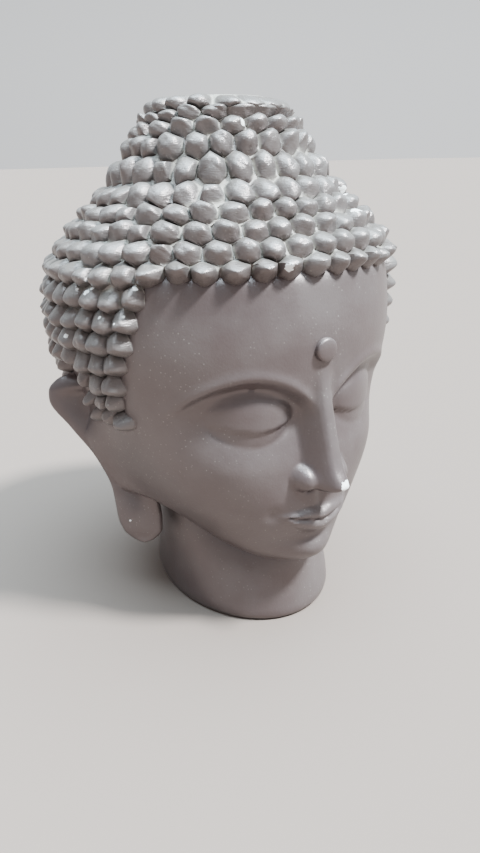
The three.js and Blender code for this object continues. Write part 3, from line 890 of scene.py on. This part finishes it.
def stud_share(u, v, rho, curl):
    """The form of one curl as a share of its height: a blunt knob with a bright and a shaded facet."""
    roll = CURL_ROLL * curl.vary(4)
    along = u * math.cos(roll) + v * math.sin(roll)
    ridge = RIDGE_CLIMB * ramp(curl.z, *RIDGE_HEIGHTS) - RIDGE_DROP + RIDGE_SCATTER * curl.vary(5)
    rise = v * math.cos(roll) - u * math.sin(roll) - ridge
    dome = 1 - DOME * np.abs(along) ** 2
    apart = OUTLINE + OUTLINE_GAP * ramp(curl.z, *OUTLINE_HEIGHTS)
    outline = apart * (np.abs(u) ** OUTLINE_POWER + np.abs(v) ** OUTLINE_POWER) ** (1 / OUTLINE_POWER)
    inner, outer = BODY_POWERS
    body = BODY * np.maximum(0, 1 - np.maximum(rho, outline) ** inner) ** outer
    slope = np.maximum(rise, 0)
    upper = dome * (FACET - (UPPER_SLOPE + UPPER_SCATTER * curl.vary(6)) * slope - UPPER_BEND * slope**2)
    lower = dome * (FACET + (LOWER_SLOPE + LOWER_SCATTER * curl.vary(7)) * rise)
    right_slope = SIDE_SLOPE + SIDE_SCATTER * curl.vary(8)
    right = SIDE_FACET - right_slope * (along - SIDE_PLACE - SIDE_PLACE * curl.vary(9))
    left_slope = SIDE_SLOPE + SIDE_SCATTER * curl.vary(10)
    left = SIDE_FACET + left_slope * (along + SIDE_PLACE + SIDE_PLACE * curl.vary(11))
    blunt = np.full_like(rho, BLUNT + BLUNT_SCATTER * curl.vary(14))
    facets = soft_min([body, upper, lower, right, left, blunt], FACET_BLEND)
    return np.maximum(facets + DENT_DEPTH * dents(u, v, rho, curl), 0)


def dents(u, v, rho, curl):
    """Shallow waves over one curl, fading out at its edge."""
    across, up = DENT_WAVES
    first = np.sin(across * u + DENT_SHIFT * curl.vary(12))
    second = np.sin(up * v + DENT_SHIFT * curl.vary(13))
    return first * second * (1 - rho**2)


def curl_height(curl, tall, worn):
    """The full height of one curl: more in tall rows, less on the worn slab."""
    full = CURL_HEIGHT * (1 + CURL_SCATTER * curl.vary(3)) * min(CURL_TALLEST, math.sqrt(tall))
    return full * (1 - SLAB_WEAR * worn)


def in_front(place):
    """Whether a place is on the front or the sides, where the curls are cut most finely."""
    return abs(math.degrees(math.atan2(place[0], AXIS_Y - place[1]))) < FRONT_TURN


class Cap:
    """The whole cap of curls, closed inside the head where there is bare skin."""

    def __init__(self):
        self.points = []
        self.triangles = []
        self.studs = []
        self.edges = {}

    def add(self, point, stud=0.0):
        self.points.append(np.asarray(point, float))
        self.studs.append(stud)
        return len(self.points) - 1

    def valley(self, angle, curls):
        """A corner between three curls, sunk or buried where some or all of them are missing."""
        z = sum(curl.z for curl in curls) / len(curls)
        real = sum(curl.real for curl in curls)
        if real == 0:
            return self.add(scalp(angle, z, BURIED))
        if real < len(curls):
            return self.add(scalp(angle, z, 1, SUNK))
        return self.add(scalp(angle, z, 1, VALLEY + SLAB_FILL * slab(angle, z)))

    def edge(self, a, b):
        """The points between two corners, shared by the two cells on either side."""
        key = (min(a, b), max(a, b))
        if key not in self.edges:
            low, high = self.points[key[0]], self.points[key[1]]
            count = FRONT_PARTS if in_front(0.5 * (low + high)) else BACK_PARTS
            stud = min(self.studs[key[0]], self.studs[key[1]])
            self.edges[key] = [self.add(low + (high - low) * k / count, stud) for k in range(1, count)]
        inner = self.edges[key]
        return inner if a < b else inner[::-1]

    def outline(self, corners):
        ring = []
        for a, b in zip(corners, corners[1:] + corners[:1]):
            ring.append(a)
            ring.extend(self.edge(a, b))
        return ring

    def fan(self, centre, ring):
        for a, b in zip(ring, ring[1:] + ring[:1]):
            self.triangles.append((centre, a, b))

    def strip(self, inner, outer):
        for k in range(len(inner)):
            n = (k + 1) % len(inner)
            self.triangles.append((inner[k], outer[k], outer[n]))
            self.triangles.append((inner[k], outer[n], inner[n]))

    def rim(self, ring, side, place):
        """Corners above the first row or below the last, where the cap is closed."""
        corners = []
        for curl, following in zip(ring, ring[1:] + ring[:1]):
            angle = curl.angle + 0.5 * wrap(following.angle - curl.angle)
            corner = self.add(place(wrap(angle)), CROWN_STUD)
            getattr(curl, side).append((corner, angle))
            getattr(following, side).append((corner, angle))
            corners.append(corner)
        return corners

    def raised(self, curl, ring):
        """Places on one curl in bands from its middle outwards, and how high up the curl they stand."""
        worn = slab(wrap(curl.angle), curl.z)
        middle = scalp(curl.angle, curl.z, 1, SLAB_FILL * worn)
        out = curl_direction(curl.angle, curl.z)
        along = np.array([math.cos(curl.angle), math.sin(curl.angle), 0])
        up = np.cross(out, along)
        spokes = np.array([self.points[k] for k in ring]) - middle
        rho = np.array(FRONT_BANDS if in_front(middle) else BACK_BANDS)[:, None]
        u = rho * unit(spokes @ along)
        v = rho * unit(spokes @ up)
        share = stud_share(u, v, rho + 0 * u, curl)
        tall = np.abs(spokes @ up).max() / (0.5 * ROW_PITCH)
        full = curl_height(curl, tall, worn)
        places = middle + rho[..., None] * spokes + full * share[..., None] * out
        return places, share

    def stud(self, curl):
        """One curl over its cell, out to the valleys round it."""
        ring = self.outline(curl.corners())
        places, share = self.raised(curl, ring)
        centre = self.add(places[0, 0], share[0, 0])
        bands = []
        for ring_places, ring_share in zip(places[1:], share[1:]):
            bands.append([self.add(p, s) for p, s in zip(ring_places, ring_share)])
        bands.append(ring)
        self.fan(centre, bands[0])
        for inner, outer in zip(bands, bands[1:]):
            self.strip(inner, outer)


def hair():
    """The cap of curls, and how high up its curl each point stands."""
    cap = Cap()
    rings = [curl_ring(z, row) for row, z in enumerate(curl_rows())]
    last = rings[-1]
    for curl in last:
        curl.real = False
    for upper, lower in zip(rings, rings[1:]):
        link_rows(upper, lower, cap.valley)
    low = last[0].z
    disc = cap.rim(rings[0], "above", lambda angle: polar(angle, CROWN_DISC, HEIGHT - CROWN_EDGE))
    floor = cap.rim(last, "below", lambda angle: scalp(angle, low - CAP_EDGE, 0.5 * BURIED))
    cap.fan(cap.add((0, AXIS_Y, HEIGHT), CROWN_STUD), cap.outline(disc))
    cap.fan(cap.add((0, AXIS_Y, low - CAP_FLOOR)), cap.outline(floor)[::-1])
    for ring in rings:
        for curl in ring:
            if curl.real:
                cap.stud(curl)
            else:
                cap.fan(cap.add(scalp(curl.angle, curl.z, BURIED)), cap.outline(curl.corners()))
    return np.array(cap.points), np.array(cap.triangles), np.array(cap.studs)


# Making the mesh


def make_object(name, points, triangles):
    mesh = bpy.data.meshes.new(name)
    mesh.from_pydata((np.asarray(points) * MM).tolist(), [], np.asarray(triangles).tolist())
    mesh.update()
    piece = bpy.data.objects.new(name, mesh)
    bpy.context.scene.collection.objects.link(piece)
    return piece


def join(base, others):
    """Joins closed solids into one."""
    for other in others:
        modifier = base.modifiers.new("join", "BOOLEAN")
        modifier.operation = "UNION"
        modifier.solver = "MANIFOLD"
        modifier.object = other
    graph = bpy.context.evaluated_depsgraph_get()
    mesh = bpy.data.meshes.new_from_object(base.evaluated_get(graph))
    base.modifiers.clear()
    base.data = mesh
    for other in others:
        bpy.data.objects.remove(other)
    return base


def mark_studs(piece, points, studs):
    """Keeps on each point how high up its curl it stands: 0 in the valleys, 1 at the tips, -1 on skin."""
    tree = KDTree(len(points))
    for i, point in enumerate(points * MM):
        tree.insert(point, i)
    tree.balance()
    values = []
    for vertex in piece.data.vertices:
        _, i, distance = tree.find(vertex.co)
        values.append(studs[i] if distance < SAME_PLACE * MM else -1.0)
    attribute = piece.data.attributes.new("stud", "FLOAT", "POINT")
    attribute.data.foreach_set("value", values)


def build_head():
    """Skin, hair, ears and the mark between the brows, joined into one piece."""
    head = make_object("plaster_head", *skin())
    points, triangles, studs = hair()
    others = [make_object("hair", points, triangles)]
    others += [make_object("ear", *ear(side)) for side in (1, -1)]
    others.append(make_object("urna", *urna()))
    join(head, others)
    mark_studs(head, points, studs)
    head.data.shade_smooth()
    head.data.set_sharp_from_angle(angle=math.radians(SHARP_EDGE))
    return head


# Paint


def node(tree, kind, inputs=None, **settings):
    """Adds a node, with plain values or other nodes' outputs on its inputs."""
    made = tree.nodes.new(kind)
    for name, value in settings.items():
        setattr(made, name, value)
    for name, value in (inputs or {}).items():
        if isinstance(value, bpy.types.NodeSocket):
            tree.links.new(value, made.inputs[name])
        else:
            made.inputs[name].default_value = value
    return made


def noise(tree, place, scale, detail=NOISE_DETAIL):
    inputs = {"Vector": place, "Scale": scale, "Detail": detail, "Roughness": NOISE_ROUGH}
    return node(tree, "ShaderNodeTexNoise", inputs).outputs["Fac"]


def band(tree, value, zero, one):
    """A smooth step from 0 to 1 between two values, in either direction."""
    low, high = sorted((zero, one))
    ends = (0.0, 1.0) if zero < one else (1.0, 0.0)
    inputs = {"Value": value, "From Min": low, "From Max": high, "To Min": ends[0], "To Max": ends[1]}
    made = node(tree, "ShaderNodeMapRange", inputs, interpolation_type="SMOOTHSTEP")
    return made.outputs["Result"]


def combine(tree, operation, *values):
    """Runs one sum over several values in turn."""
    result = values[0]
    for value in values[1:]:
        result = node(tree, "ShaderNodeMath", {0: result, 1: value}, operation=operation).outputs[0]
    return result


def mix_colour(tree, share, first, second):
    made = node(tree, "ShaderNodeMix", {0: share, 6: first, 7: second}, data_type="RGBA")
    return made.outputs[2]


def mix_value(tree, share, first, second):
    return node(tree, "ShaderNodeMix", {0: share, 2: first, 3: second}, data_type="FLOAT").outputs[0]


class Surface:
    """What the paint goes by: place, height, the curls' relief, the way the surface faces and the tone."""

    def __init__(self, tree):
        self.tree = tree
        self.place = node(tree, "ShaderNodeTexCoord").outputs["Object"]
        self.height = node(tree, "ShaderNodeSeparateXYZ", {0: self.place}).outputs["Z"]
        self.stud = node(tree, "ShaderNodeAttribute", attribute_name="stud").outputs["Fac"]
        self.in_hair = band(tree, self.stud, *HAIR_STUDS)
        normal = node(tree, "ShaderNodeNewGeometry").outputs["Normal"]
        self.tilt = node(tree, "ShaderNodeSeparateXYZ", {0: normal}).outputs["Z"]
        self.upward = band(tree, self.tilt, *UPWARD_BAND)
        self.tone = band(tree, noise(tree, self.place, TONE_SCALE, TONE_DETAIL), *TONE_BAND)


def film_mask(surface):
    """A thin film of dust on what faces up, high on the head."""
    tree = surface.tree
    low_down = band(tree, surface.stud, *FILM_STUDS)
    high_up = band(tree, surface.height, *FILM_HEIGHTS)
    return combine(tree, "MULTIPLY", surface.upward, low_down, FILM, high_up)


def valley_mask(surface):
    """Dust in patches in the valleys between the curls, high on the head."""
    tree = surface.tree
    patches = band(tree, noise(tree, surface.place, PATCH_SCALE), *PATCH_BAND)
    facing = band(tree, surface.tilt, *VALLEY_FACING)
    valleys = band(tree, surface.stud, *VALLEY_STUDS)
    high_up = band(tree, surface.height, *VALLEY_HEIGHTS)
    return combine(tree, "MULTIPLY", valleys, patches, facing, VALLEY_DUST, high_up)


def wear_and_highlight_mask(surface):
    """Where hands and weather have rubbed the tips of the curls, most of all on the crown. It is kept to
    tips that face up, so their lighter colour is also a painted highlight.
    """
    tree = surface.tree
    tips = band(tree, surface.stud, *WEAR_AND_HIGHLIGHT_STUDS)
    rubbed = band(tree, noise(tree, surface.place, RUB_SCALE), *RUB_BAND)
    uneven = mix_value(tree, rubbed, RUB_LOW, 1.0)
    crown = mix_value(tree, band(tree, surface.height, *WEAR_AND_HIGHLIGHT_HEIGHTS), WEAR_AND_HIGHLIGHT_LOW, 1.0)
    # Only tips that face up get it: this part paints a highlight, not only wear.
    return combine(tree, "MULTIPLY", tips, uneven, surface.upward, crown)


def chip_mask(surface):
    """White wherever paint is knocked off, with a ragged edge."""
    tree = surface.tree
    ragged = noise(tree, surface.place, CHIP_SCALE)
    masks = []
    for x, y, z, radius in CHIPS:
        inputs = {0: surface.place, 1: (x * MM, y * MM, z * MM)}
        distance = node(tree, "ShaderNodeVectorMath", inputs, operation="DISTANCE").outputs["Value"]
        reach = CHIP_RAGGED * radius * MM
        edge = combine(tree, "ADD", distance, combine(tree, "MULTIPLY", ragged, reach))
        masks.append(band(tree, edge, reach, CHIP_EDGE * radius * MM))
    return combine(tree, "MAXIMUM", *masks)


def speck_mask(surface):
    """Fine pale specks, one in some of many small cells."""
    tree = surface.tree
    cells = node(tree, "ShaderNodeTexVoronoi", {"Vector": surface.place, "Scale": SPECK_SCALE})
    cell = node(tree, "ShaderNodeSeparateColor", {"Color": cells.outputs["Color"]}).outputs["Red"]
    dots = band(tree, cells.outputs["Distance"], *SPECK_DOT)
    picked = combine(tree, "MULTIPLY", dots, band(tree, cell, *SPECK_PICK))
    return combine(tree, "MULTIPLY", picked, band(tree, surface.tone, *SPECK_TONES), SPECKS)


def paint_colour(surface, valleys, wear_and_highlight, chips):
    """Paint, then dust, wear with a painted highlight, and specks on it, and bare plaster in the chips."""
    tree = surface.tree
    dust = combine(tree, "MAXIMUM", film_mask(surface), valleys)
    dust = combine(tree, "MULTIPLY", dust, surface.in_hair)
    skin_paint = mix_colour(tree, surface.tone, PAINT_DARK, PAINT_LIGHT)
    hair_paint = mix_colour(tree, surface.tone, HAIR_DARK, HAIR_LIGHT)
    colour = mix_colour(tree, surface.in_hair, skin_paint, hair_paint)
    colour = mix_colour(tree, dust, colour, DUST)
    # Lighter, cooler tips: rubbed paint together with a painted highlight.
    colour = mix_colour(tree, combine(tree, "MULTIPLY", wear_and_highlight, WEAR_AND_HIGHLIGHT), colour, WORN_AND_HIGHLIGHT)
    colour = mix_colour(tree, speck_mask(surface), colour, DUST)
    return mix_colour(tree, chips, colour, PLASTER)


def paint_roughness(surface, valleys, wear_and_highlight, chips):
    """A satin sheen, smoother where it is rubbed and matt where there is dust or bare plaster."""
    tree = surface.tree
    matt = combine(tree, "MAXIMUM", combine(tree, "MULTIPLY", valleys, surface.in_hair), chips)
    satin = mix_value(tree, surface.in_hair, mix_value(tree, surface.tone, *SKIN_ROUGH), HAIR_ROUGH)
    satin = mix_value(tree, wear_and_highlight, satin, WORN_ROUGH)
    return mix_value(tree, matt, satin, MATT_ROUGH)


def paint_grain(surface):
    """The fine grain of the plaster, and the level strokes of a tool on the curls."""
    tree = surface.tree
    inputs = {"Vector": surface.place, "Scale": STROKE_SQUASH}
    level = node(tree, "ShaderNodeMapping", inputs).outputs["Vector"]
    strokes = noise(tree, level, STROKE_SCALE, STROKE_DETAIL)
    strokes = combine(tree, "MULTIPLY", strokes, surface.in_hair, STROKE)
    fine, coarse = [noise(tree, surface.place, scale) for scale in GRAIN_SCALES]
    grain = combine(tree, "ADD", fine, coarse, strokes)
    inputs = {"Height": grain, "Strength": GRAIN_STRENGTH, "Distance": GRAIN_DEPTH}
    return node(tree, "ShaderNodeBump", inputs).outputs["Normal"]


def paint():
    material = bpy.data.materials.new("grey_painted_plaster")
    material.use_nodes = True
    tree = material.node_tree
    shader = tree.nodes["Principled BSDF"]
    surface = Surface(tree)
    masks = (valley_mask(surface), wear_and_highlight_mask(surface), chip_mask(surface))
    shader.inputs["Specular IOR Level"].default_value = SPECULAR
    shader.inputs["Specular Tint"].default_value = SPECULAR_TINT
    tree.links.new(paint_colour(surface, *masks), shader.inputs["Base Color"])
    tree.links.new(paint_roughness(surface, *masks), shader.inputs["Roughness"])
    tree.links.new(paint_grain(surface), shader.inputs["Normal"])
    return material


# Scene


def camera_axes():
    """The camera's place and its right, up and forward directions."""
    turn = math.radians(CAMERA_TURN)
    place = np.array([math.sin(turn) * CAMERA_DISTANCE, -math.cos(turn) * CAMERA_DISTANCE, CAMERA_HEIGHT])
    look = turn + math.radians(CAMERA_YAW)
    pitch = math.radians(CAMERA_PITCH)
    flat = np.array([-math.sin(look), math.cos(look), 0])
    forward = math.cos(pitch) * flat + np.array([0, 0, -math.sin(pitch)])
    right = np.array([math.cos(look), math.sin(look), 0])
    up = np.cross(right, forward)
    roll = math.radians(CAMERA_ROLL)
    right, up = right * math.cos(roll) + up * math.sin(roll), up * math.cos(roll) - right * math.sin(roll)
    return place, right, up, forward


def add_camera():
    place, right, up, forward = camera_axes()
    data = bpy.data.cameras.new("camera")
    data.sensor_width = SENSOR
    data.lens = FOCAL_PIXELS / IMAGE_HEIGHT * SENSOR
    data.clip_start = CLIP_START
    camera = bpy.data.objects.new("camera", data)
    axes = np.column_stack([right, up, -forward])
    camera.matrix_world = Matrix.Translation(Vector(place * MM)) @ Matrix(axes.tolist()).to_4x4()
    bpy.context.scene.collection.objects.link(camera)
    bpy.context.scene.camera = camera


def add_sun(name, place, softness, strength, colour):
    """A soft light from far off, aimed from a place to the middle of the head."""
    data = bpy.data.lights.new(name, "SUN")
    data.angle = math.radians(softness)
    data.energy = strength
    data.color = colour
    light = bpy.data.objects.new(name, data)
    light.location = place
    aim = Vector(SUN_AIM) - Vector(place)
    light.rotation_euler = aim.to_track_quat("-Z", "Y").to_euler()
    bpy.context.scene.collection.objects.link(light)


def add_studio():
    """Soft light from all round, brightest on the right near the horizon, and two lights from above."""
    world = bpy.data.worlds.new("studio")
    bpy.context.scene.world = world
    world.use_nodes = True
    tree = world.node_tree
    place = node(tree, "ShaderNodeTexCoord").outputs["Generated"]
    split = node(tree, "ShaderNodeSeparateXYZ", {0: place})
    across = band(tree, split.outputs["X"], *ROUND_ACROSS)
    rise = band(tree, split.outputs["Z"], *ROUND_RISE)
    horizon = mix_value(tree, across, ROUND_LEFT, ROUND_RIGHT)
    strength = mix_value(tree, rise, horizon, ROUND_OVERHEAD)
    background = tree.nodes["Background"]
    background.inputs["Color"].default_value = ROUND_COLOUR
    tree.links.new(strength, background.inputs["Strength"])
    for sun in SUNS:
        add_sun(*sun)


def add_floor():
    size = FLOOR_HALF
    mesh = bpy.data.meshes.new("floor")
    corners = [(-size, -size, 0), (size, -size, 0), (size, size, 0), (-size, size, 0)]
    mesh.from_pydata(corners, [], [(0, 1, 2, 3)])
    floor = bpy.data.objects.new("floor", mesh)
    bpy.context.scene.collection.objects.link(floor)
    material = bpy.data.materials.new("pale_floor")
    material.use_nodes = True
    shader = material.node_tree.nodes["Principled BSDF"]
    shader.inputs["Base Color"].default_value = FLOOR_COLOUR
    shader.inputs["Roughness"].default_value = FLOOR_ROUGH
    shader.inputs["Specular IOR Level"].default_value = FLOOR_SPECULAR
    mesh.materials.append(material)


head = build_head()
head.data.materials.clear()
head.data.materials.append(paint())
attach(head, "root")
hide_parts("buddha_head")
add_camera()
add_studio()
add_floor()
